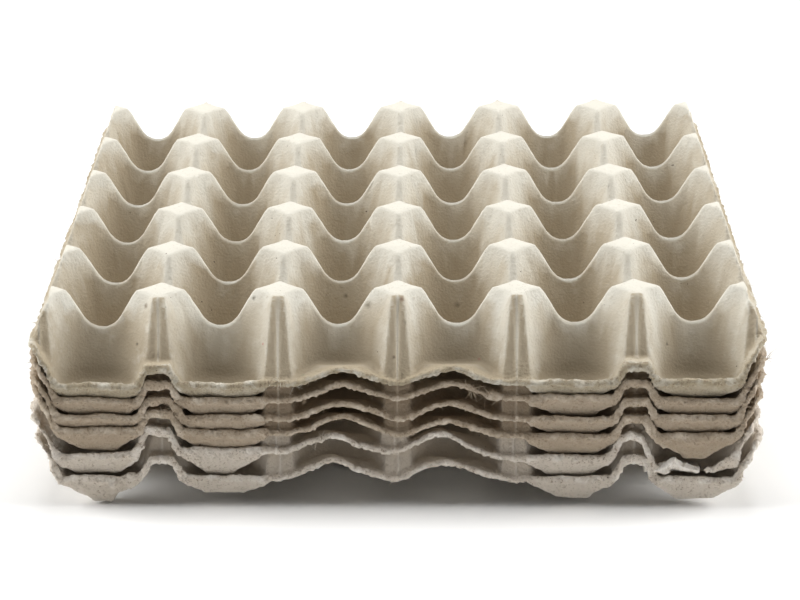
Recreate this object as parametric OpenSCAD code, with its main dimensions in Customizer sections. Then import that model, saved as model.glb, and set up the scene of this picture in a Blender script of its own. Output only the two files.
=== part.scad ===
// Stack of six nested moulded pulp egg trays, 30 cells each.
// Millimetres, Z up, the wide front border toward -Y, centre of the stack on the Z axis.

/* [Cells] */
// Cells along the front
cells_across = 6; // [4:2:8]
// Cells from front to back
cells_deep = 5; // [3:1:6]
// Spacing of the cells along the front
pitch_x = 48; // [47:0.5:52]
// Spacing of the cells from front to back
pitch_y = 50; // [49:0.5:54]

/* [Moulded sheet] */
// Thickness of the pulp
wall = 2.1; // [1.6:0.1:2.4]
// Height of one tray, from its cup floors to its post tops
tray_h = 46; // [44:1:50]
// Draft of the steep walls, from upright
draft = 20; // [18:0.5:22]

/* [Cups] */
// Radius of the flat floor of a cup
floor_r = 6; // [5:0.5:8]
// Radius where the flared foot of a cup meets its steep wall
knee_r = 15.7; // [15:0.1:16.2]
// Height of that knee
knee_z = 11; // [10:0.5:12.5]

/* [Posts and ridges] */
// Half width of a post top, along the front
post_x = 9.5; // [9:0.25:10.5]
// Half depth of a post top
post_y = 8.5; // [8:0.25:9.5]
// Drop from the post tops to the lowest point of a ridge
saddle_drop = 17; // [15:0.5:18]
// Slope of the ridges that climb to a post
ridge_slope = 60; // [58:1:62]

/* [Front and back borders] */
// Reach of the border past the outer rows of posts
border = 22.5; // [21.5:0.5:24]
// Height of the level stretches of the edge
edge_z = 13.3; // [12.5:0.1:14.5]
// Height of the floor inside an end pocket
pocket_z = 5.6; // [4.5:0.1:7]
// Height of the bump in front of the second posts
bump_h = 7.7; // [6:0.1:9]
// Width of that bump at its foot
bump_foot = 19; // [18:0.5:21]
// Width of that bump at its top
bump_top = 10; // [8:0.5:11]
// Height of the two finger waves in the middle of the edge
wave_h = 6.5; // [4:0.5:7.5]
// Width of one finger wave
wave_w = 40; // [34:1:42]
// Fall of the ledge behind a finger wave, from level
wave_fall = 20; // [16:1:26]

/* [Side rims] */
// Height of the straight side rims
side_z = 29.6; // [28.5:0.1:31]
// Reach of the side rims past the lattice of posts
side_rim = 3.5; // [3:0.5:5]
// How far the half posts stop short of their full middle
half_post_cut = 3.5; // [2.5:0.5:5]

/* [Stack] */
// Spare height under the top tray, beyond a tight nest
spare_1 = 0.5; // [0.3:0.1:4.5]
// Spare height under the second tray
spare_2 = 1.3; // [0.3:0.1:4.5]
// Spare height under the third tray
spare_3 = 0.4; // [0.3:0.1:4.5]
// Spare height under the fourth tray
spare_4 = 3.2; // [0.3:0.1:4.5]
// Spare height under the fifth tray
spare_5 = 4.1; // [0.3:0.1:4.5]
// Gap that stays between the walls of two nested trays
seat_gap = 0.1; // [0.05:0.01:0.15]

/* [Damage] */
// Width of the tear in the front right pocket of the fifth tray
tear_w = 17; // [12:1:22]
// Depth of that tear, from the edge inward
tear_d = 11; // [8:1:14]

/* [Hidden] */
half_w = cells_across / 2 * pitch_x;
half_d = cells_deep / 2 * pitch_y;
edge_x = half_w + side_rim;
edge_y = half_d + border;
base = -8;
over = tray_h + 6;
spread = edge_x + 12;
pocket_inset = 0.3;
lip = 2;
corner_r = 6;

// Each tray slides this far sideways until one side of every cup rests on the tray below.
function slide(spare) = max(0, spare * tan(draft) - seat_gap / cos(draft));
spares = [spare_1, spare_2, spare_3, spare_4, spare_5];
slide_to = [200, 75, 290, 340, 170];
steps = [for (i = [0 : 4]) slide(spares[i]) * [cos(slide_to[i]), sin(slide_to[i]), 0]
    + [0, 0, wall / sin(draft) + spares[i]]];
function stepped(i) = i > 4 ? [0, 0, 0] : stepped(i + 1) + steps[i];
stood = [for (i = [0 : 5]) stepped(i)];
function middle(k) = let (all = [for (p = stood) p[k]]) (max(all) + min(all)) / 2;
function place(i) = stood[i] - [middle(0), middle(1), 0];

// The lower face of a sheet whose upper face follows line, t away along the normals.
function normal(p, q) = let (d = q - p) [d.y, -d.x] / norm(d);
function mitre(m, n) = (m + n) / (1 + m * n);
function lowered(line, t) = [for (i = [0 : len(line) - 1])
    let (m = normal(line[max(i - 1, 0)], line[max(i, 1)]),
         n = normal(line[min(i, len(line) - 2)], line[min(i + 1, len(line) - 1)]))
    line[i] + t * mitre(m, n)];
function both_sides(line) = concat([for (i = [len(line) - 1 : -1 : 0]) [-line[i].x, line[i].y]], line);
function closed(line, z) = concat(line, [[line[len(line) - 1].x, z], [line[0].x, z]]);

// Half section of a cup, from the middle of its floor up its wall.
function cup_line(floor_z, inset) = let (flare = (knee_r - floor_r) / (knee_z - wall))
    [[0, floor_z], [floor_r + (floor_z - wall) * flare - inset, floor_z], [knee_r - inset, knee_z],
     [knee_r - inset + (over - knee_z) * tan(draft), over]];

// Section of the groove that dips every ridge between two posts, with a rounded saddle.
function saddle_r(half) = (half * tan(ridge_slope) - saddle_drop) / (1 / cos(ridge_slope) - 1);
function groove_line(half) = let (r = saddle_r(half), z = tray_h - saddle_drop)
    both_sides(concat([for (a = [12 : 24 : ridge_slope]) r * [sin(a), -cos(a)] + [0, z + r]],
        [[half + (over - tray_h) / tan(ridge_slope), over]]));

// Outer slopes of the block of posts, seen along one axis.
function block_line(top) = both_sides([[top, tray_h], [top + (tray_h - base) * tan(draft), base]]);

// Front edge from the middle outward: finger wave, level stretch, bump, level stretch, corner wing.
wave_x = pitch_x / 2 - 2;
bump_x = half_w - pitch_x;
wave_line = [for (a = [0 : 45 : 360])
    [wave_x + (a / 360 - 0.5) * wave_w, edge_z + wave_h * (1 - cos(a)) / 2]];
bump_line = [[bump_x - bump_foot / 2, edge_z], [bump_x - bump_top / 2, edge_z + bump_h],
    [bump_x + bump_top / 2, edge_z + bump_h], [bump_x + bump_foot / 2, edge_z]];
wing_line = [[half_w - 10, edge_z], [edge_x - 2, side_z], [spread, side_z]];
edge_line = both_sides(concat(wave_line, bump_line, wing_line));

module along_y(length) rotate([90, 0, 0]) linear_extrude(length, center = true) children();
module along_x(length) rotate([90, 0, 90]) linear_extrude(length, center = true) children();
module at_cell(i, j) translate([(i + 0.5) * pitch_x - half_w, (j + 0.5) * pitch_y - half_d, 0]) children();

module cup(t, floor_z = wall, inset = 0) {
    line = lowered(cup_line(floor_z, inset), t);
    rotate_extrude($fn = 72) polygon(concat(line, [[0, line[len(line) - 1].y]]));
}

// Block of posts and ridges before its cups are hollowed.
module posts(t) difference() {
    intersection() {
        along_y(2 * spread) polygon(lowered(block_line(half_w - half_post_cut), t));
        along_x(3 * spread) polygon(lowered(block_line(half_d + post_y), t));
    }
    for (i = [0 : cells_across - 1]) at_cell(i, cells_deep / 2 - 0.5)
        along_y(3 * spread) polygon(lowered(groove_line(pitch_x / 2 - post_x), t));
    for (j = [0 : cells_deep - 1]) at_cell(cells_across / 2 - 0.5, j)
        along_x(3 * spread) polygon(lowered(groove_line(pitch_y / 2 - post_y), t));
}

module side_rims(t) for (s = [-1, 1]) translate([s * (half_w + 5), 0, (side_z - t + base) / 2])
    cube([22, 2 * half_d + 4, side_z - t - base], center = true);

// Space behind the end wall of a pocket, or above the ledge of a finger wave; lean is from upright.
module behind_end(t, in, z, lean) {
    run = min((z - base) * tan(lean), border - in);
    line = lowered([[in - (over - z) * tan(lean), over], [in + run, z - run / tan(lean)]], t);
    translate([0, -edge_y, 0]) along_x(pitch_x)
        polygon(concat(line, [[border + 1, line[1].y], [border + 1, line[0].y]]));
}

module front_border(t) difference() {
    translate([0, -half_d - 18, 0]) along_y(34) polygon(closed(lowered(edge_line, t), base - t));
    for (i = [0 : cells_across - 1]) {
        waved = abs(i + 0.5 - cells_across / 2) < 1;
        intersection() {
            at_cell(i, -1) cup(t, pocket_z, pocket_inset);
            at_cell(i, cells_deep / 2 - 0.5)
                behind_end(t, lip, waved ? edge_z + wave_h : edge_z, waved ? 90 - wave_fall : draft);
        }
    }
}

// Everything under the upper face of the sheet (t = 0) or under its lower face (t = wall).
module form(t) {
    difference() {
        union() {
            posts(t);
            side_rims(t);
        }
        for (i = [0 : cells_across - 1], j = [-1 : cells_deep]) at_cell(i, j) cup(t);
    }
    front_border(t);
    mirror([0, 1, 0]) front_border(t);
}

module outline() translate([0, 0, base - 10]) linear_extrude(over - base + 20)
    polygon([for (q = [0 : 3], a = [0 : 22.5 : 90])
        [(edge_x - corner_r) * (q % 3 == 0 ? 1 : -1), (edge_y - corner_r) * (q < 2 ? 1 : -1)]
            + corner_r * [cos(q * 90 + a), sin(q * 90 + a)]]);

module tray() intersection() {
    outline();
    difference() {
        form(0);
        form(wall);
    }
}

module top_tray() color("#bdb6a8") translate(place(0)) tray();
module second_tray() color("#b5a994") translate(place(1)) tray();
module third_tray() color("#b3a892") translate(place(2)) tray();
module fourth_tray() color("#b0a692") translate(place(3)) tray();
// The front right pocket of this tray is torn out.
module fifth_tray() color("#a3a099") translate(place(4)) difference() {
    tray();
    translate([half_w - pitch_x / 2 - 1, -edge_y, 0]) linear_extrude(tray_h)
        polygon([[-tear_w * 0.55, -3], [-tear_w * 0.4, tear_d * 0.35], [-tear_w * 0.18, tear_d * 0.6],
            [0, tear_d], [tear_w * 0.22, tear_d * 0.7], [tear_w * 0.3, tear_d * 0.3], [tear_w * 0.5, -3]]);
}
module bottom_tray() color("#a09d97") translate(place(5)) tray();

top_tray();
second_tray();
third_tray();
fourth_tray();
fifth_tray();
bottom_tray();
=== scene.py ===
# %% [markdown]
# # A stack of moulded pulp egg trays
#
# Six trays of recycled paper pulp sit in one another. Each is one thin sheet that was sucked on to a
# wire mould and dried, so it has soft edges, a felted surface and a ragged trimmed rim. The CAD frame
# already has the true form of every tray. This lesson takes that form, makes it soft and uneven as
# pulp is, and gives it its finish.

import math

import bpy
import numpy as np
from mathutils import Matrix, Vector


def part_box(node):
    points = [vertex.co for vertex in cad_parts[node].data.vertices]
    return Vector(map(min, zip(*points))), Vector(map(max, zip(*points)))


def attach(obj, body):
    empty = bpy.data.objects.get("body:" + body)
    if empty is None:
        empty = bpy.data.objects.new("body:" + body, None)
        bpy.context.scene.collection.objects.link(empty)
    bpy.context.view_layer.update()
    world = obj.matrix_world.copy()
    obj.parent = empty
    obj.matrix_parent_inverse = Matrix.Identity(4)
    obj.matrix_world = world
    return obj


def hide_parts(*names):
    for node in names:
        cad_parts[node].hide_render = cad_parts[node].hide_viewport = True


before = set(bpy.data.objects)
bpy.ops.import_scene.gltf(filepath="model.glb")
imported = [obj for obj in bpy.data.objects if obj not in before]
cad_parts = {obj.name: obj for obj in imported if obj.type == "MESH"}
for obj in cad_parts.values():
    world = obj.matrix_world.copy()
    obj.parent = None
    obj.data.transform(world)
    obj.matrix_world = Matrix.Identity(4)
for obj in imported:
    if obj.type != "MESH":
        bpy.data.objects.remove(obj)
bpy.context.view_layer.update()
MM = 0.001

print("frame:", sorted(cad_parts))

# %% [markdown]
# ## Camera
#
# The photo was taken from in front and a little above with a long lens. The angles come from the
# lattice of post tops: its spacing is known, so the rows and columns give the elevation, the small
# turn, the distance and the focal length. The camera's axis passes below the middle of the post tops.

# %% Camera
PHOTO_W = 800
ELEVATION = math.radians(21.17)
TURN = math.radians(-0.29)
DISTANCE = 1198 * MM
FOCAL_PX = 2674
AXIS_RIGHT = 0.36 * MM
AXIS_UP = -49.4 * MM

top_low, top_high = (Vector(c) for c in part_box("top_tray"))
post_tops = Vector(((top_low.x + top_high.x) / 2, (top_low.y + top_high.y) / 2, top_high.z))

right = Vector((math.cos(TURN), -math.sin(TURN), 0))
level = math.cos(ELEVATION)
ahead = Vector((math.sin(TURN) * level, math.cos(TURN) * level, -math.sin(ELEVATION)))
up = right.cross(ahead)

bpy.ops.object.select_all(action="DESELECT")
bpy.ops.object.camera_add()
camera = bpy.context.object
camera.name = "photo_camera"
camera.data.sensor_width = 36
camera.data.lens = FOCAL_PX / PHOTO_W * camera.data.sensor_width
place = post_tops + right * AXIS_RIGHT + up * AXIS_UP - ahead * DISTANCE
camera.matrix_world = Matrix.Translation(place) @ Matrix((right, up, -ahead)).transposed().to_4x4()
bpy.context.scene.camera = camera
print("camera at", [round(v, 3) for v in place], "lens", round(camera.data.lens, 1))

# %% [markdown]
# ## Floor and light
#
# A white floor, a softbox on either side and one overhead give the shading of the photo: bright post tops,
# darker walls where the trays face the camera, and dark gaps between the rims. The floor throws light back
# on the lowest rims. The plain view transform keeps white paper white, as a product photo does. The floor
# lies a little below zero, because the uneven pulp takes some cup floors slightly under it.

# %% Floor and light
FLOOR_Z = -0.4 * MM
SOFTBOX_SIZE = 1.2


def rgb(code):
    """A hex sRGB colour as linear values."""
    parts = [int(code[i : i + 2], 16) / 255 for i in (0, 2, 4)]
    return tuple(p / 12.92 if p <= 0.04045 else ((p + 0.055) / 1.055) ** 2.4 for p in parts) + (1.0,)


def add(tree, kind, links=(), **settings):
    """Adds one node. links are (input name, source socket); settings set sockets or properties."""
    node = tree.nodes.new(kind)
    for key, value in settings.items():
        key = key.replace("_", " ") if key.replace("_", " ") in node.inputs else key
        if key in node.inputs:
            node.inputs[key].default_value = value
        else:
            setattr(node, key, value)
    for name, source in links:
        tree.links.new(source, node.inputs[name])
    return node


bpy.ops.object.select_all(action="DESELECT")
bpy.ops.mesh.primitive_plane_add(size=6, location=(0, 0, FLOOR_Z))
floor = bpy.context.object
floor.name = "floor"
paper = bpy.data.materials.new("white_backdrop_paper")
paper.use_nodes = True
paper.node_tree.nodes["Principled BSDF"].inputs["Base Color"].default_value = rgb("f4f4f3")
paper.node_tree.nodes["Principled BSDF"].inputs["Roughness"].default_value = 0.9
floor.data.materials.append(paper)


def soft_light(name, at, power):
    """A square light that looks at the middle of the stack."""
    bpy.ops.object.light_add(type="AREA", location=at)
    lamp = bpy.context.object
    lamp.name = name
    lamp.data.size = SOFTBOX_SIZE
    lamp.data.energy = power
    lamp.rotation_euler = (post_tops - Vector(at)).to_track_quat("-Z", "Y").to_euler()


soft_light("left_softbox", (-1.7, 0.05, 1.1), 40)
soft_light("right_softbox", (1.7, 0.05, 1.1), 39)
soft_light("overhead", (0, 0.3, 2.2), 25)
world = bpy.data.worlds.new("bright_room")
world.use_nodes = True
world.node_tree.nodes["Background"].inputs["Color"].default_value = rgb("ffffff")
world.node_tree.nodes["Background"].inputs["Strength"].default_value = 0.11
bpy.context.scene.world = world
bpy.context.scene.view_settings.view_transform = "Standard"

# %% [markdown]
# ## One soft sheet
#
# The CAD form has crisp edges, and pulp never does: fibres settle thickly in every corner of the mould.
# A copy of the CAD mesh is welded, remeshed into small even cells and smoothed until edges are a little
# round. The even cells are far too many, so the inner cups are thinned. A vertex group keeps the
# small cells where they are needed: on the borders, and in the strips down the front of the outer posts.

# %% One soft sheet
PITCH_X = 48 * MM
PITCH_Y = 50 * MM
HALF_W = 144 * MM
HALF_D = 125 * MM
EDGE_X = 147.5 * MM
EDGE_Y = 147.5 * MM
VOXEL = 0.9 * MM
SMOOTH_PASSES = 2
FINE_BORDER = 7 * MM
FINE_STRIP = 3 * MM


def make_active(piece):
    bpy.ops.object.select_all(action="DESELECT")
    piece.select_set(True)
    bpy.context.view_layer.objects.active = piece


def apply_all(piece):
    """Applies every modifier of one piece, first to last."""
    make_active(piece)
    for modifier in list(piece.modifiers):
        bpy.ops.object.modifier_apply(modifier=modifier.name)


def values(items, name, width=3):
    """One property of all vertices as rows of numbers."""
    rows = np.empty(len(items) * width)
    items.foreach_get(name, rows)
    return rows.reshape(-1, width)


def middle_of(node):
    """Middle of a tray's outline, on the plane of its cup floors."""
    low, high = (np.array(c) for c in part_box(node))
    return np.array([(low[0] + high[0]) / 2, (low[1] + high[1]) / 2, low[2]])


def from_edge(points):
    """How far points lie inside a tray's trimmed edge."""
    return np.minimum(EDGE_X - np.abs(points[:, 0]), EDGE_Y - np.abs(points[:, 1]))


def from_post_line(points):
    """Sideways distance to the nearest row of posts that runs from front to back."""
    return np.abs((points[:, 0] + PITCH_X / 2) % PITCH_X - PITCH_X / 2)


def new_group(piece, name, weights):
    """A vertex group whose weights are given for all vertices, rounded to tenths."""
    group = piece.vertex_groups.new(name=name)
    tenths = np.round(weights * 10).astype(int)
    for level in range(1, 11):
        group.add(np.flatnonzero(tenths == level).tolist(), level / 10, "REPLACE")


def soft_sheet(node):
    """A softened copy of a CAD tray, with small even cells."""
    sheet = bpy.data.objects.new(node + "_sheet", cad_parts[node].data.copy())
    bpy.context.scene.collection.objects.link(sheet)
    sheet.data.materials.clear()
    make_active(sheet)
    bpy.ops.object.mode_set(mode="EDIT")
    bpy.ops.mesh.select_all(action="SELECT")
    bpy.ops.mesh.remove_doubles(threshold=0.01 * MM)
    bpy.ops.object.mode_set(mode="OBJECT")
    cells = sheet.modifiers.new("even_cells", "REMESH")
    cells.mode = "VOXEL"
    cells.voxel_size = VOXEL
    softer = sheet.modifiers.new("soft_edges", "SMOOTH")
    softer.factor = 0.5
    softer.iterations = SMOOTH_PASSES
    apply_all(sheet)
    points = values(sheet.data.vertices, "co") - middle_of(node)
    strip = (from_post_line(points) < FINE_STRIP) & (np.abs(points[:, 1]) > HALF_D + 6 * MM)
    new_group(sheet, "thin_here", np.where(strip | (from_edge(points) < FINE_BORDER), 0.0, 1.0))
    print(node, "sheet:", len(sheet.data.polygons), "even cells")
    return sheet


def thinned(sheet, triangles):
    """A copy of a sheet with fewer cells inside."""
    copy = bpy.data.objects.new(sheet.name + "_thin", sheet.data.copy())
    bpy.context.scene.collection.objects.link(copy)
    thinner = copy.modifiers.new("thin_flats", "DECIMATE")
    thinner.ratio = min(1, triangles / (2 * len(copy.data.polygons)))
    thinner.vertex_group = "thin_here"
    thinner.vertex_group_factor = 1
    apply_all(copy)
    print(copy.name, len(copy.data.polygons), "faces")
    return copy


whole_sheet = soft_sheet("top_tray")
torn_sheet = soft_sheet("fifth_tray")
SHOWN_TRIANGLES = 190_000
NESTED_TRIANGLES = 125_000
sheets = {
    "shown": (thinned(whole_sheet, SHOWN_TRIANGLES), "top_tray"),
    "nested": (thinned(whole_sheet, NESTED_TRIANGLES), "top_tray"),
    "torn": (thinned(torn_sheet, NESTED_TRIANGLES), "fifth_tray"),
}

# %% [markdown]
# ## Trays that dried unevenly
#
# No two trays lie quite level. Damp pulp warps as it dries, so the front edge of each rises and falls
# by a few millimetres. RIM_LIFT gives that rise over the four outer pockets of each tray, from left to
# right. It fades toward the back, where the trays lie closer. The two lowest trays come from a more worn
# mould: their finger waves are pointed, and their bumps are taller and rounder. EDGE_LINE gives those as
# points along the front edge. Their end pockets hang deeper or shallower, and some are pinched to a keel.
#
# The strips down the outer posts are drawn in until they are as slim as the real ones, and get a thin bead.
# The ridges between posts get a slimmer crest. Moving vertices in code suits this, because every tray
# differs by a few millimetres, and Displace modifiers then add the lumps, the ragged trim and the knocks.

# %% Trays that dried unevenly
# The moulded form, as in the CAD.
TRAY_H = 46 * MM
DRAFT = math.radians(20)
KNEE_R = 15.7 * MM
KNEE_Z = 11 * MM
POST_X = 9.5 * MM
POST_Y = 8.5 * MM
EDGE_Z = 13.3 * MM
BUMP_X = 96 * MM
SADDLE_Z = 29 * MM

BUMP_SKIRT = 2.4 * MM
CREST_PINCH = 0.45
POCKETS_X = np.array([-120, -72, 72, 120]) * MM
CAP_RISE = 1.3 * MM
CAP_BAND = 3 * MM
# What is left of the torn pocket, and how much of its depth is left below CRUSH_Z.
CRUSH_X = (99 * MM, 138 * MM)
CRUSH_Y = -138 * MM
CRUSH_Z = 5.5 * MM
CRUSHED_TO = 0.2
# Half width of the strips on the outer posts, from the rim up to the post tops.
STRIP_Z = np.array([13, 44]) * MM
STRIP_HALF = np.array([5.8, 2.6]) * MM
MOULDED_HALF = (1.2 * MM, 9 * MM)
BEAD_RISE = 0.85 * MM
BEAD_WIDTH = 0.55 * MM
# Cells beside a bead are drawn in, so that it is narrow.
BEAD_FROM = np.array([0, 1.3, 2.4, 24]) * MM
BEAD_TO = np.array([0, 0.65, 2.4, 24]) * MM

RIM_LIFT = {
    "top_tray": (0.2, 0.8, 2.3, 3.0),
    "second_tray": (0.5, 0.6, 2.5, 0.6),
    "third_tray": (0.9, 0.6, 0.3, 1.2),
    "fourth_tray": (2.0, 1.0, -0.8, 0.0),
    "fifth_tray": (-0.6, 2.4, -1.0, -1.0),
    "bottom_tray": (0.0, 0.0, 0.0, 0.0),
}
# Share of that rise that is left at the back.
LIFT_AT_BACK = {"top_tray": 0.9}
USUAL_LIFT_AT_BACK = 0.4
# Rise of the front edge over its moulded line: place along it and rise, both in mm.
EDGE_LINE = {
    "fourth_tray": ((-34, 0), (-19, 1.2), (-6, 0), (10, 0), (23, -0.4), (36, 0)),
    "fifth_tray": (
        *((-107, 0), (-103, 1.8), (-100, 3.2), (-95, 2.2), (-90, 1.4), (-86, 0)),
        *((-46, 0), (-35, 1.9), (-25, 1.2), (-15, -1.1), (-3, 0)),
        *((9, 2.9), (19, 3.3), (29, 0), (39, -0.3), (44, 0)),
        *((86, 0), (91, 1.2), (96, 3.0), (100, 1.5)),
        *((103, -2.5), (105, -4.3), (110, -5), (128, -5), (135, 0)),
    ),
    "bottom_tray": (
        *((-106, 0), (-101, 0.8), (-96, 1.5), (-91, 0.8), (-86, 0)),
        *((-49, 0), (-37, 3.0), (-27, 2.8), (-17, -1.2), (-7, -0.8)),
        *((-1, 0), (9, 2.1), (19, 1.5), (29, -0.9), (41, 0)),
        *((86, 0), (91, 0.8), (96, 1.4), (101, 0.8), (106, 0)),
    ),
}
# End pockets of the front: place along the edge and extra depth in mm, and how far the bottom is pinched.
POCKET_SAG = {
    "second_tray": ((-72, 0.6, 0.1), (72, 0.5, 0.1)),
    "third_tray": ((-120, -0.8, 0), (72, -0.8, 0)),
    "fourth_tray": ((-120, 2.0, 0.3), (-72, 0.8, 0), (120, 3.0, 0.65)),
    "fifth_tray": ((-120, 0.4, 0.05), (-72, 3.6, 0.6), (72, 0.3, 0.1)),
    "bottom_tray": ((-120, 2.9, 0.7), (-72, -0.6, 0.2), (72, 1.0, 0.35), (120, 1.0, 0.15)),
}
# Corners and edges that were knocked: place on the tray and reach, in mm.
KNOCKED = {
    "top_tray": ((147, -128, 14), (-147, -132, 9)),
    "second_tray": ((147, -135, 14), (-147, -138, 12), (34, -147, 8)),
    "third_tray": ((147, -130, 10), (-147, -134, 12), (-88, -147, 9)),
    "fourth_tray": ((146, -140, 12), (-146, -138, 14), (100, -147, 10)),
    "fifth_tray": ((-145, -142, 20), (-103, -147, 9), (140, -144, 14), (112, -142, 14)),
    "bottom_tray": ((-140, -144, 14), (146, -140, 16), (-110, -146, 10)),
}
MADE_FROM = {"top_tray": "shown", "bottom_tray": "shown", "fifth_tray": "torn"}
SLOT = {
    "top_tray": "light_pulp",
    "second_tray": "brown_pulp",
    "third_tray": "brown_pulp",
    "fourth_tray": "brown_pulp",
    "fifth_tray": "grey_pulp",
    "bottom_tray": "grey_pulp",
}


def felt(name, size):
    """A cloudy texture whose lumps are about this size."""
    texture = bpy.data.textures.new(name, "CLOUDS")
    texture.noise_scale = size
    texture.noise_depth = 2
    return texture


uneven = felt("uneven_pulp", 22 * MM)
lumps = felt("pulp_lumps", 5 * MM)
ragged = felt("ragged_trim", 1.5 * MM)
crumpled = felt("crumpled_corner", 7 * MM)
wavering = felt("wavering_rim", 13 * MM)


def push(piece, name, strength, texture=None, group="", direction="NORMAL"):
    """Moves a piece's surface along its normals or straight up, by a texture or evenly."""
    shove = piece.modifiers.new(name, "DISPLACE")
    shove.strength = strength
    shove.vertex_group = group
    shove.direction = direction
    shove.mid_level = 0.5 if texture else 0.0
    if texture:
        shove.texture = texture
        shove.texture_coords = "LOCAL"


def narrowed_strips(points):
    """New sideways places that make the strips on the outer posts as slim as the real ones."""
    x, y, z = points.T
    line = np.round(x / PITCH_X) * PITCH_X
    off = np.abs(x - line)
    plane = HALF_D + POST_Y + (TRAY_H - z) * math.tan(DRAFT)
    wall = KNEE_R + (z - KNEE_Z) * math.tan(DRAFT)
    moulded = PITCH_X / 2 - np.sqrt(np.clip(wall**2 - (plane - HALF_D - PITCH_Y / 2) ** 2, 1e-6, None))
    moulded = np.clip(moulded, *MOULDED_HALF)
    real = np.interp(z, STRIP_Z, STRIP_HALF)
    beyond = (off - moulded) * (PITCH_X / 2 - real) / (PITCH_X / 2 - moulded)
    wide = np.where(off < moulded, off * real / moulded, real + beyond)
    wide = np.interp(wide, BEAD_FROM, BEAD_TO)
    on_front = np.clip((np.abs(y) - HALF_D - 5 * MM) / (5 * MM), 0, 1)
    on_front *= np.clip((HALF_W + 2 * MM - np.abs(x)) / (4 * MM), 0, 1)
    above_bump = np.clip((z - 21 * MM) / (5 * MM), 0, 1)
    on_front *= np.where(np.abs(np.abs(line) - BUMP_X) < MM, above_bump, 1)
    return x + np.sign(x - line) * (wide - off) * on_front


def slim_crests(points):
    """New places from front to back that draw the ridges between posts to a slimmer crest."""
    x, y, z = points.T
    line = np.round((y - PITCH_Y / 2) / PITCH_Y) * PITCH_Y + PITCH_Y / 2
    near_crest = np.clip((z - SADDLE_Z + 9 * MM) / (9 * MM), 0, 1)
    between_posts = np.clip((from_post_line(points) - 10 * MM) / (5 * MM), 0, 1)
    return line + (y - line) * (1 - CREST_PINCH * near_crest * between_posts)


def sag(points, flat, at, depth, pinch):
    """Hangs one end pocket of the front deeper and draws its bottom together."""
    below = np.clip((EDGE_Z - flat[:, 2]) / (7 * MM), 0, 1)
    ahead = np.clip((-flat[:, 1] - HALF_D - 6 * MM) / (10 * MM), 0, 1)
    across = np.clip(1.4 - np.abs(flat[:, 0] - at * MM) / (16 * MM), 0, 1)
    part = below * ahead * across
    points[:, 2] -= depth * MM * part
    points[:, 0] -= pinch * (flat[:, 0] - at * MM) * part


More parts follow.
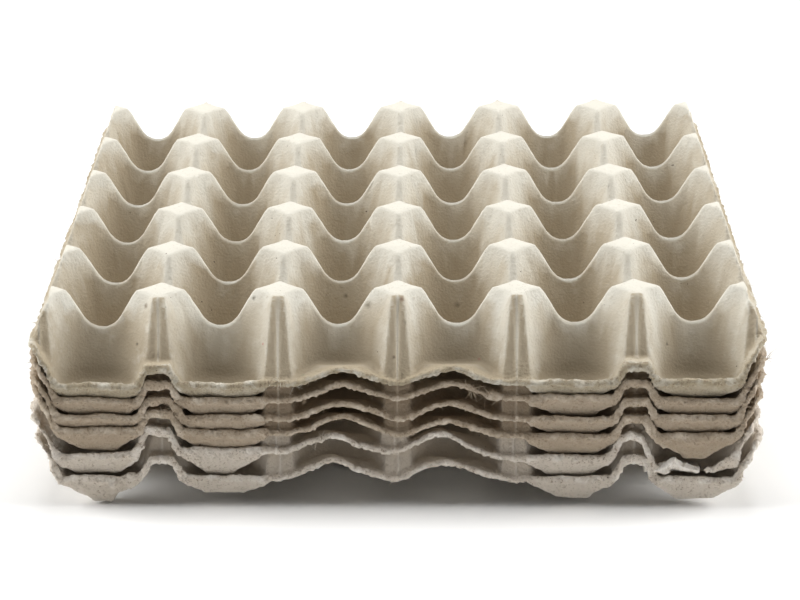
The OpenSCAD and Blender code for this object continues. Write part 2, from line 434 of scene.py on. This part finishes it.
def own_tray(node):
    """A tray with its own mesh, at its place, with capped posts, beads, a lifted rim and a ragged edge."""
    sheet, sheet_node = sheets[MADE_FROM.get(node, "nested")]
    tray = bpy.data.objects.new(node + "_pulp", sheet.data.copy())
    bpy.context.scene.collection.objects.link(tray)
    points = values(tray.data.vertices, "co") - middle_of(sheet_node)
    normals = values(tray.data.vertices, "normal")
    flat = points.copy()
    height = points[:, 2].max()
    points[:, 0] = narrowed_strips(points)
    points[:, 1] = slim_crests(points)

    # Post tops are shallow pyramids with creases toward their corners.
    off_x = from_post_line(points)
    off_y = np.abs(points[:, 1] % PITCH_Y - PITCH_Y / 2)
    cap = np.clip(1 - off_x / POST_X - off_y / POST_Y, 0, 1)
    near_top = np.clip((points[:, 2] - height + CAP_BAND) / CAP_BAND, 0, 1)
    points[:, 2] += CAP_RISE * (cap - 0.5) * near_top

    # A thin bead runs down the middle of every outer post.
    outside = (np.abs(normals[:, 1]) > 0.5) & (normals[:, 2] > 0.1) & (np.abs(points[:, 1]) > HALF_D + 6 * MM)
    bead = np.exp(-((off_x / BEAD_WIDTH) ** 2)) * outside
    points += normals * (BEAD_RISE * bead)[:, None]
    strip_half = np.interp(points[:, 2], STRIP_Z, STRIP_HALF)
    band = outside * np.clip((strip_half - off_x) / (0.6 * MM), 0, 1) * (1 - bead)

    lift = np.interp(points[:, 0], POCKETS_X, np.array(RIM_LIFT[node]) * MM)
    forward = np.clip((EDGE_Y - points[:, 1]) / (2 * EDGE_Y), 0, 1)
    at_back = LIFT_AT_BACK.get(node, USUAL_LIFT_AT_BACK)
    points[:, 2] += lift * (at_back + (1 - at_back) * forward)
    # Over the bumps the sheet was trimmed on a slope, so its cut face is taller there.
    underneath = np.clip(-normals[:, 2], 0, 1) * np.clip(1 - from_edge(flat) / (4 * MM), 0, 1)
    over_bump = np.clip(1.6 - np.abs(np.abs(flat[:, 0]) - BUMP_X) / (7 * MM), 0, 1)
    points[:, 2] -= BUMP_SKIRT * underneath * over_bump

    on_border = np.clip((-points[:, 1] - HALF_D - 6 * MM) / (12 * MM), 0, 1)
    if node in EDGE_LINE:
        along, rise = np.array(EDGE_LINE[node]).T * MM
        points[:, 2] += np.interp(points[:, 0], along, rise) * on_border
    for at, depth, pinch in POCKET_SAG.get(node, ()):
        sag(points, flat, at, depth, pinch)
    if node == "fifth_tray":
        # What is left of the torn pocket is crushed against the rim of the tray below.
        crushed = (points[:, 0] > CRUSH_X[0]) & (points[:, 0] < CRUSH_X[1]) & (points[:, 1] < CRUSH_Y)
        low = CRUSH_Z - (CRUSH_Z - points[:, 2]) * CRUSHED_TO
        points[:, 2] = np.where(crushed & (points[:, 2] < CRUSH_Z), low, points[:, 2])

    tray.data.vertices.foreach_set("co", (points + middle_of(node)).ravel())
    new_group(tray, "trimmed_edge", np.clip(1 - from_edge(flat) / (2.4 * MM), 0, 1))
    knocks = [
        1 - np.linalg.norm(flat[:, :2] - np.array([x, y]) * MM, axis=1) / (reach * MM)
        for x, y, reach in KNOCKED[node]
    ]
    new_group(tray, "knocked", np.clip(np.max(knocks, axis=0), 0, 1))
    push(tray, "uneven_pulp", 0.55 * MM, uneven)
    push(tray, "pulp_lumps", 0.25 * MM, lumps)
    new_group(tray, "rim", np.clip(1 - from_edge(flat) / (14 * MM), 0, 1))
    push(tray, "wavering_rim", 2.6 * MM, wavering, "rim", "Z")
    push(tray, "crumpled_corner", 6 * MM, crumpled, "knocked")
    push(tray, "swollen_edge", 0.3 * MM, group="trimmed_edge")
    push(tray, "ragged_edge", 2.8 * MM, ragged, "trimmed_edge")
    apply_all(tray)
    tray.vertex_groups.clear()

    keep = tray.data.attributes.new("tray_place", "FLOAT_VECTOR", "POINT")
    keep.data.foreach_set("vector", flat.ravel())
    for name, amounts in (("bead", bead), ("band", band)):
        tray.data.attributes.new(name, "FLOAT", "POINT").data.foreach_set("value", amounts)
    make_active(tray)
    bpy.ops.object.shade_smooth()
    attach(tray, "root")
    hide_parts(node)
    return tray


trays = {node: own_tray(node) for node in RIM_LIFT}
for sheet in [whole_sheet, torn_sheet] + [s for s, _ in sheets.values()]:
    bpy.data.objects.remove(sheet)
print("trays:", {n: len(t.data.polygons) for n, t in trays.items()})

# %% [markdown]
# ## The torn pocket
#
# The front right pocket of the fifth tray is torn open. A crumpled lip of its floor is bent forward, with
# one shred that stands up. A flat grid is bent along two lines, gets the thickness of the sheet, and is
# crumpled with the same textures as the trays. Its back lies in the floor of the pocket that is left.

# %% The torn pocket
# Place and size of the lip on its tray, in mm. The part beyond LIP_BENT lies flat.
LIP_LEFT, LIP_WIDTH = 101.5, 22.5
LIP_FRONT, LIP_DEPTH = -149.5, 12
LIP_Z = 4.4
LIP_LEAN = 2.2
LIP_THICKNESS = 2.6
LIP_BENT = 0.7
# Rise of its bent edge, from left to right.
LIP_ALONG = np.array([0, 0.2, 0.4, 0.53, 0.66, 0.8, 1.0])
LIP_RISE = np.array([2.2, 2.8, 4.2, 7.6, 4.6, 3.6, 2.4]) * MM


def torn_lip():
    """The crumpled lip, coloured pale all over as painted light."""
    bpy.ops.object.select_all(action="DESELECT")
    bpy.ops.mesh.primitive_grid_add(x_subdivisions=60, y_subdivisions=24, size=1)
    lip = bpy.context.object
    lip.name = "torn_lip"
    points = values(lip.data.vertices, "co")
    along, out = points[:, 0] + 0.5, points[:, 1] + 0.5
    curl = np.clip((LIP_BENT - out) / LIP_BENT, 0, 1) ** 1.2
    bent = np.empty_like(points)
    bent[:, 0] = (LIP_LEFT + LIP_WIDTH * along) * MM
    bent[:, 1] = (LIP_FRONT + LIP_DEPTH * out) * MM + LIP_LEAN * MM * curl**2
    bent[:, 2] = LIP_Z * MM + np.interp(along, LIP_ALONG, LIP_RISE) * curl
    lip.data.vertices.foreach_set("co", (bent + middle_of("fifth_tray")).ravel())
    new_group(lip, "free_end", curl)
    thick = lip.modifiers.new("sheet", "SOLIDIFY")
    thick.thickness = LIP_THICKNESS * MM
    thick.offset = 0
    rounder = lip.modifiers.new("soft_edges", "SUBSURF")
    rounder.levels = rounder.render_levels = 1
    push(lip, "crumpled", 3 * MM, felt("crumpled_lip", 4 * MM), "free_end")
    push(lip, "ragged", 0.9 * MM, ragged)
    apply_all(lip)
    bpy.ops.object.shade_smooth()
    # Painted light: the whole lip gets the full pale colour, as if lit where it lies in the shade of the tray
    # above.
    inside = lip.data.attributes.new("rubbed_and_painted_light", "FLOAT", "POINT")
    inside.data.foreach_set("value", np.ones(len(lip.data.vertices)))
    return lip


loose = {"fifth_tray": [torn_lip()]}

# %% [markdown]
# ## Shreds and fibres
#
# The trim leaves fibres along every edge, and a few shreds hang where pulp tore. One fibre is modelled as
# a slim three-sided cone cut across so that it can bend. Copies of it grow out of points of the trimmed
# edges, each with its own length and bend. They are about a third of a millimetre thick, more than a real
# fibre, so that they show.

# %% Shreds and fibres
def one_fibre():
    """Points and faces of a fibre 1 long and 1 wide at its foot, standing on Z."""
    bpy.ops.object.select_all(action="DESELECT")
    bpy.ops.mesh.primitive_cone_add(vertices=3, radius1=0.5, radius2=0.12, depth=1, location=(0, 0, 0.5))
    fibre = bpy.context.object
    bpy.ops.object.transform_apply()
    bpy.ops.object.mode_set(mode="EDIT")
    for height in (0.25, 0.5, 0.75):
        bpy.ops.mesh.select_all(action="SELECT")
        bpy.ops.mesh.bisect(plane_co=(0, 0, height), plane_no=(0, 0, 1))
    bpy.ops.object.mode_set(mode="OBJECT")
    made = values(fibre.data.vertices, "co"), [tuple(f.vertices) for f in fibre.data.polygons]
    bpy.data.objects.remove(fibre)
    return made


fibre_points, fibre_faces = one_fibre()
EDGE_FIBRES = 260
LONGEST_EDGE_FIBRE = 2.6
# Shreds: tray, place along the front edge in mm, number of fibres in the tuft, longest fibre in mm.
TUFTS = (
    ("second_tray", 34.5, 26, 6.5),
    ("top_tray", -36, 12, 5),
    ("top_tray", -46, 7, 4),
    ("second_tray", -58, 10, 4),
    ("second_tray", 143, 30, 6),
    ("third_tray", 140, 20, 5),
    ("third_tray", -92, 14, 4),
    ("fourth_tray", 100, 12, 4),
    ("fifth_tray", -31, 10, 4),
    ("fifth_tray", -136, 14, 4),
)


def fibres(node, tray, chance):
    """Fibres along the trimmed edge of one tray, joined in one mesh."""
    flat = values(tray.data.attributes["tray_place"].data, "vector")
    points, normals = values(tray.data.vertices, "co"), values(tray.data.vertices, "normal")
    edge = np.flatnonzero((from_edge(flat) < 0.6 * MM) & (flat[:, 2] > 6 * MM))
    roots = [(i, LONGEST_EDGE_FIBRE) for i in chance.choice(edge, EDGE_FIBRES, replace=False)]
    front = edge[flat[edge, 1] < -140 * MM]
    for _, at, count, longest in (t for t in TUFTS if t[0] == node):
        near = front[np.argsort(np.abs(flat[front, 0] - at * MM))[: count * 2]]
        roots += [(i, longest) for i in chance.choice(near, count)]
    corners, faces = [], []
    for i, longest in roots:
        length = chance.uniform(0.35, 1) * longest * MM
        width = chance.uniform(0.2, 0.38) * MM
        grow = normals[i] * 0.7 + chance.normal(0, 0.6, 3)
        grow /= np.linalg.norm(grow)
        side = np.cross(grow, chance.normal(0, 1, 3))
        side /= np.linalg.norm(side)
        other = np.cross(grow, side)
        x, y, t = fibre_points.T
        bend = chance.uniform(-0.7, 0.7) * length
        grown = (
            points[i]
            - normals[i] * 0.4 * MM
            + np.outer(t * length, grow)
            + np.outer(x * width + t**2 * bend, side)
            + np.outer(y * width, other)
        )
        faces += [tuple(c + len(corners) * len(fibre_points) for c in f) for f in fibre_faces]
        corners.append(grown)
    mesh = bpy.data.meshes.new(node + "_fibres")
    mesh.from_pydata(np.concatenate(corners).tolist(), [], faces)
    piece = bpy.data.objects.new(node + "_fibres", mesh)
    bpy.context.scene.collection.objects.link(piece)
    make_active(piece)
    bpy.ops.object.shade_smooth()
    return piece


chance = np.random.default_rng(30)
for node, tray in trays.items():
    loose.setdefault(node, []).append(fibres(node, tray, chance))
for node, pieces in loose.items():
    for piece in pieces:
        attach(piece, "root")
print("loose pieces:", {p.name: len(p.data.polygons) for ps in loose.values() for p in ps})

# %% [markdown]
# ## Where a tray is rubbed, shaded or trimmed
#
# Three values are kept on each vertex for the finish. Ridges that stick out are rubbed pale, creases get
# painted shade, and the trimmed edge shows the brown inside of the sheet. Sticking out is measured by
# comparing a vertex with the average of its neighbours. The strips on the outer posts and the ledges of the
# finger waves get painted shade too, and the beads of the strips get half of a painted highlight.

# %% Where a tray is rubbed, shaded or trimmed
LEDGE_HALF = 44 * MM
LEDGE_DEPTH = 9 * MM
# Share of painted shade on the ledges of the finger waves.
LEDGE_PAINTED_SHADE = 0.85
TRIM_DEPTH = 6 * MM


def spread(rows, ends, counts):
    """Average of each vertex's neighbours."""
    a, b = ends
    total = [np.bincount(a, c[b], len(counts)) + np.bincount(b, c[a], len(counts)) for c in rows.T]
    return np.stack(total, axis=1) / counts[:, None]


def mark(tray):
    """Stores the three values on a tray and returns their averages."""
    mesh = tray.data
    ends = values(mesh.edges, "vertices", 2).astype(int).T
    counts = np.maximum(np.bincount(ends.ravel(), minlength=len(mesh.vertices)), 1)
    points = values(mesh.vertices, "co")
    even = points
    for _ in range(5):
        even = spread(even, ends, counts)
    normals = values(mesh.vertices, "normal")
    out = np.einsum("ij,ij->i", points - even, normals)[:, None]
    for _ in range(2):
        out = spread(out, ends, counts)
    flat = values(mesh.attributes["tray_place"].data, "vector")
    inward = from_edge(flat)
    edge = np.clip(1 - inward / TRIM_DEPTH, 0, 1)
    ledge = np.clip((LEDGE_HALF - np.abs(flat[:, 0])) / (4 * MM), 0, 1)
    ledge *= np.clip((LEDGE_DEPTH - inward) / (3 * MM), 0, 1) * np.clip(normals[:, 2] * 2 - 0.6, 0, 1)
    bead, band = (values(mesh.attributes[name].data, "value", 1)[:, 0] for name in ("bead", "band"))
    ridges = np.clip((out[:, 0] - 0.12 * MM) / (0.5 * MM), 0, 1)
    creases = np.clip((-out[:, 0] - 0.08 * MM) / (0.4 * MM), 0, 1)
    # Painted shade goes into the creases, the strips on the outer posts and the wave ledges; the beads get
    # half of a painted highlight.
    marks = {
        "rubbed_and_painted_light": np.maximum(ridges * (1 - band), 0.5 * bead),
        "painted_shade": np.maximum.reduce([creases, band, LEDGE_PAINTED_SHADE * ledge]),
        "trimmed": edge,
    }
    for name, amounts in marks.items():
        mesh.attributes.new(name, "FLOAT", "POINT").data.foreach_set("value", amounts)
    return {name: round(float(amounts.mean()), 3) for name, amounts in marks.items()}


for node, tray in trays.items():
    print(node, mark(tray))

# %% [markdown]
# ## Moulded pulp
#
# Recycled paper pulp is felted grey-brown fibre with no gloss. The eye sees a mottle of a few
# millimetres, fine fibre specks, a few dark and red flecks of old print, and a rough browner trim.

# %% Moulded pulp
# Marks on the top tray: place and radius in mm, and colour. Two are red flecks of print, and the rest
# are smudges.
MARKS = (
    ((-53.7, -137.7, 67.5), 0.8, "b9706a"),
    ((33.4, -134.0, 59.6), 0.8, "b18478"),
    ((25.2, -80.3, 62.1), 1.6, "6b6455"),
    ((-21.8, -78.6, 65.5), 1.3, "6f6857"),
    ((-11.6, -126.9, 80.2), 2.0, "8f8777"),
    ((2.2, -134.0, 85.6), 1.6, "8c7565"),
    ((-1.0, -142.2, 63.8), 1.0, "75695a"),
    ((-57.7, -126.7, 83.1), 1.2, "6f6a5c"),
    ((-37.6, -143.1, 56.3), 0.9, "858a74"),
    ((-101.0, -131.1, 81.3), 1.6, "7d7060"),
    ((-104.8, -135.1, 66.3), 0.9, "6b6455"),
    ((109.3, -132.8, 65.8), 0.8, "5f5a50"),
)


NOISE, RANGE, MIX = "ShaderNodeTexNoise", "ShaderNodeMapRange", "ShaderNodeMixRGB"
MATH, KEPT = "ShaderNodeMath", "ShaderNodeAttribute"


def moulded_pulp(name, pale, base, deep, trim, marks=()):
    """Felted fibre: matte, mottled, flecked, pale on rubbed ridges and painted highlights, darkened by
    painted shade, and brown where trimmed.
    """
    material = bpy.data.materials.new(name)
    material.use_nodes = True
    tree = material.node_tree
    shader = tree.nodes["Principled BSDF"]
    place = add(tree, "ShaderNodeTexCoord").outputs["Object"]

    # Stains of 45 mm, a mottle of 5 mm and fibre clumps of 1.1 mm. The depths of the cups get painted shade,
    # browner toward the floors.
    stains = add(tree, NOISE, [("Vector", place)], Scale=1 / (45 * MM), Detail=2).outputs["Fac"]
    mottle = add(tree, NOISE, [("Vector", place)], Scale=1 / (5 * MM), Detail=4).outputs["Fac"]
    fibre = add(tree, NOISE, [("Vector", place)], Scale=1 / (1.1 * MM), Detail=3).outputs["Fac"]
    stained = add(tree, RANGE, [("Value", stains)], From_Min=0.35, From_Max=0.7).outputs["Result"]
    colour = add(tree, MIX, [("Fac", stained)], Color1=base, Color2=deep).outputs["Color"]
    on_tray = add(tree, KEPT, attribute_name="tray_place").outputs["Vector"]
    height = add(tree, "ShaderNodeSeparateXYZ", [("Vector", on_tray)]).outputs["Z"]
    # Painted shade: from 36 mm down to 12 mm the colour goes up to 0.45 of the way to the deep colour.
    depth = add(tree, RANGE, [("Value", height)], From_Min=36 * MM, From_Max=12 * MM, To_Max=0.45)
    brown = depth.outputs["Result"]
    colour = add(tree, MIX, [("Fac", brown), ("Color1", colour)], Color2=deep).outputs["Color"]
    spots = add(tree, RANGE, [("Value", mottle)], From_Min=0.48, From_Max=0.8, To_Max=0.6).outputs["Result"]
    colour = add(tree, MIX, [("Fac", spots), ("Color1", colour)], Color2=pale).outputs["Color"]

    # Rubbed ridges, painted highlights on the beads and the torn lip, painted shade in creases, strips and
    # ledges, and the rough trim, from the values kept on the vertices.
    # The pale colour is worn ridges, plus painted highlights on the beads and painted light on the torn lip.
    rubbed_and_painted_light = add(tree, KEPT, attribute_name="rubbed_and_painted_light").outputs["Fac"]
    colour = add(tree, MIX, [("Fac", rubbed_and_painted_light), ("Color1", colour)], Color2=pale).outputs["Color"]
    # Painted shade: creases, post strips and wave ledges go toward the deep colour.
    painted_shade = add(tree, KEPT, attribute_name="painted_shade").outputs["Fac"]
    colour = add(tree, MIX, [("Fac", painted_shade), ("Color1", colour)], Color2=deep).outputs["Color"]
    trimmed = add(tree, KEPT, attribute_name="trimmed").outputs["Fac"]
    patches = add(tree, RANGE, [("Value", mottle)], From_Min=0.3, From_Max=0.6).outputs["Result"]
    torn = add(tree, MATH, [(0, trimmed), (1, patches)], operation="MULTIPLY").outputs[0]
    colour = add(tree, MIX, [("Fac", torn), ("Color1", colour)], Color2=trim).outputs["Color"]

    # The trim is pitted where clumps of fibre were pulled out.
    pits = add(tree, RANGE, [("Value", fibre)], From_Min=0.45, From_Max=0.36, To_Max=0.75).outputs["Result"]
    pitted = add(tree, MATH, [(0, torn), (1, pits)], operation="MULTIPLY").outputs[0]
    colour = add(tree, MIX, [("Fac", pitted), ("Color1", colour)], Color2=rgb("8a7a66")).outputs["Color"]

    # Specks of fibre, and a few dark flecks of old print.
    specks = add(tree, RANGE, [("Value", fibre)], From_Min=0.6, From_Max=0.85, To_Max=0.7).outputs["Result"]
    colour = add(tree, MIX, [("Fac", specks), ("Color1", colour)], Color2=deep).outputs["Color"]
    print_bits = add(tree, NOISE, [("Vector", place)], Scale=1 / (1.7 * MM), Detail=1).outputs["Fac"]
    flecks = add(tree, RANGE, [("Value", print_bits)], From_Min=0.79, From_Max=0.84).outputs["Result"]
    colour = add(tree, MIX, [("Fac", flecks), ("Color1", colour)], Color2=rgb("5a5147")).outputs["Color"]

    # Smudges with frayed outlines.
    for at, size, tint in marks:
        radius = size * MM
        away = add(tree, "ShaderNodeVectorMath", [(0, place)], operation="DISTANCE")
        away.inputs[1].default_value = [c * MM for c in at]
        frayed = add(tree, MATH, [(0, fibre), (2, away.outputs["Value"])], operation="MULTIPLY_ADD")
        frayed.inputs[1].default_value = radius
        smudge = add(tree, RANGE, [("Value", frayed.outputs[0])], To_Max=0.85)
        smudge.inputs["From Min"].default_value = 1.5 * radius
        smudge.inputs["From Max"].default_value = 0.6 * radius
        inside = smudge.outputs["Result"]
        colour = add(tree, MIX, [("Fac", inside), ("Color1", colour)], Color2=rgb(tint)).outputs["Color"]
    tree.links.new(colour, shader.inputs["Base Color"])

    # The felt is low and fine, and four times as rough on the trim.
    rougher = add(tree, MATH, [(0, trimmed)], operation="MULTIPLY_ADD")
    rougher.inputs[1].default_value, rougher.inputs[2].default_value = 3, 1
    grain = add(tree, MATH, [(0, fibre), (1, mottle)], operation="ADD")
    relief = add(tree, MATH, [(0, grain.outputs[0]), (1, rougher.outputs[0])], operation="MULTIPLY")
    felted = add(tree, "ShaderNodeBump", [("Height", relief.outputs[0])], Strength=0.5, Distance=0.6 * MM)
    tree.links.new(felted.outputs["Normal"], shader.inputs["Normal"])
    shader.inputs["Roughness"].default_value = 0.95
    shader.inputs["Specular IOR Level"].default_value = 0.15
    return material


FINISH = {
    "light_pulp": moulded_pulp(
        "moulded_pulp_light", rgb("d6d2c6"), rgb("d0c9b9"), rgb("ada08a"), rgb("a89b83"), MARKS
    ),
    "brown_pulp": moulded_pulp(
        "moulded_pulp_brown", rgb("d0c4b3"), rgb("bdaf9d"), rgb("a3927d"), rgb("ac9c88")
    ),
    # The pulp of the two lowest trays is grey in itself, and made paler with painted light that stands in for
    # light thrown back from the floor.
    "grey_pulp": moulded_pulp(
        "moulded_pulp_grey_painted_light", rgb("e9e3da"), rgb("dfd7cc"), rgb("cabfb0"), rgb("cfc4b6")
    ),
}
for node, tray in trays.items():
    for piece in [tray] + loose[node]:
        piece.data.materials.clear()
        piece.data.materials.append(FINISH[SLOT[node]])
print("finishes:", sorted(FINISH))
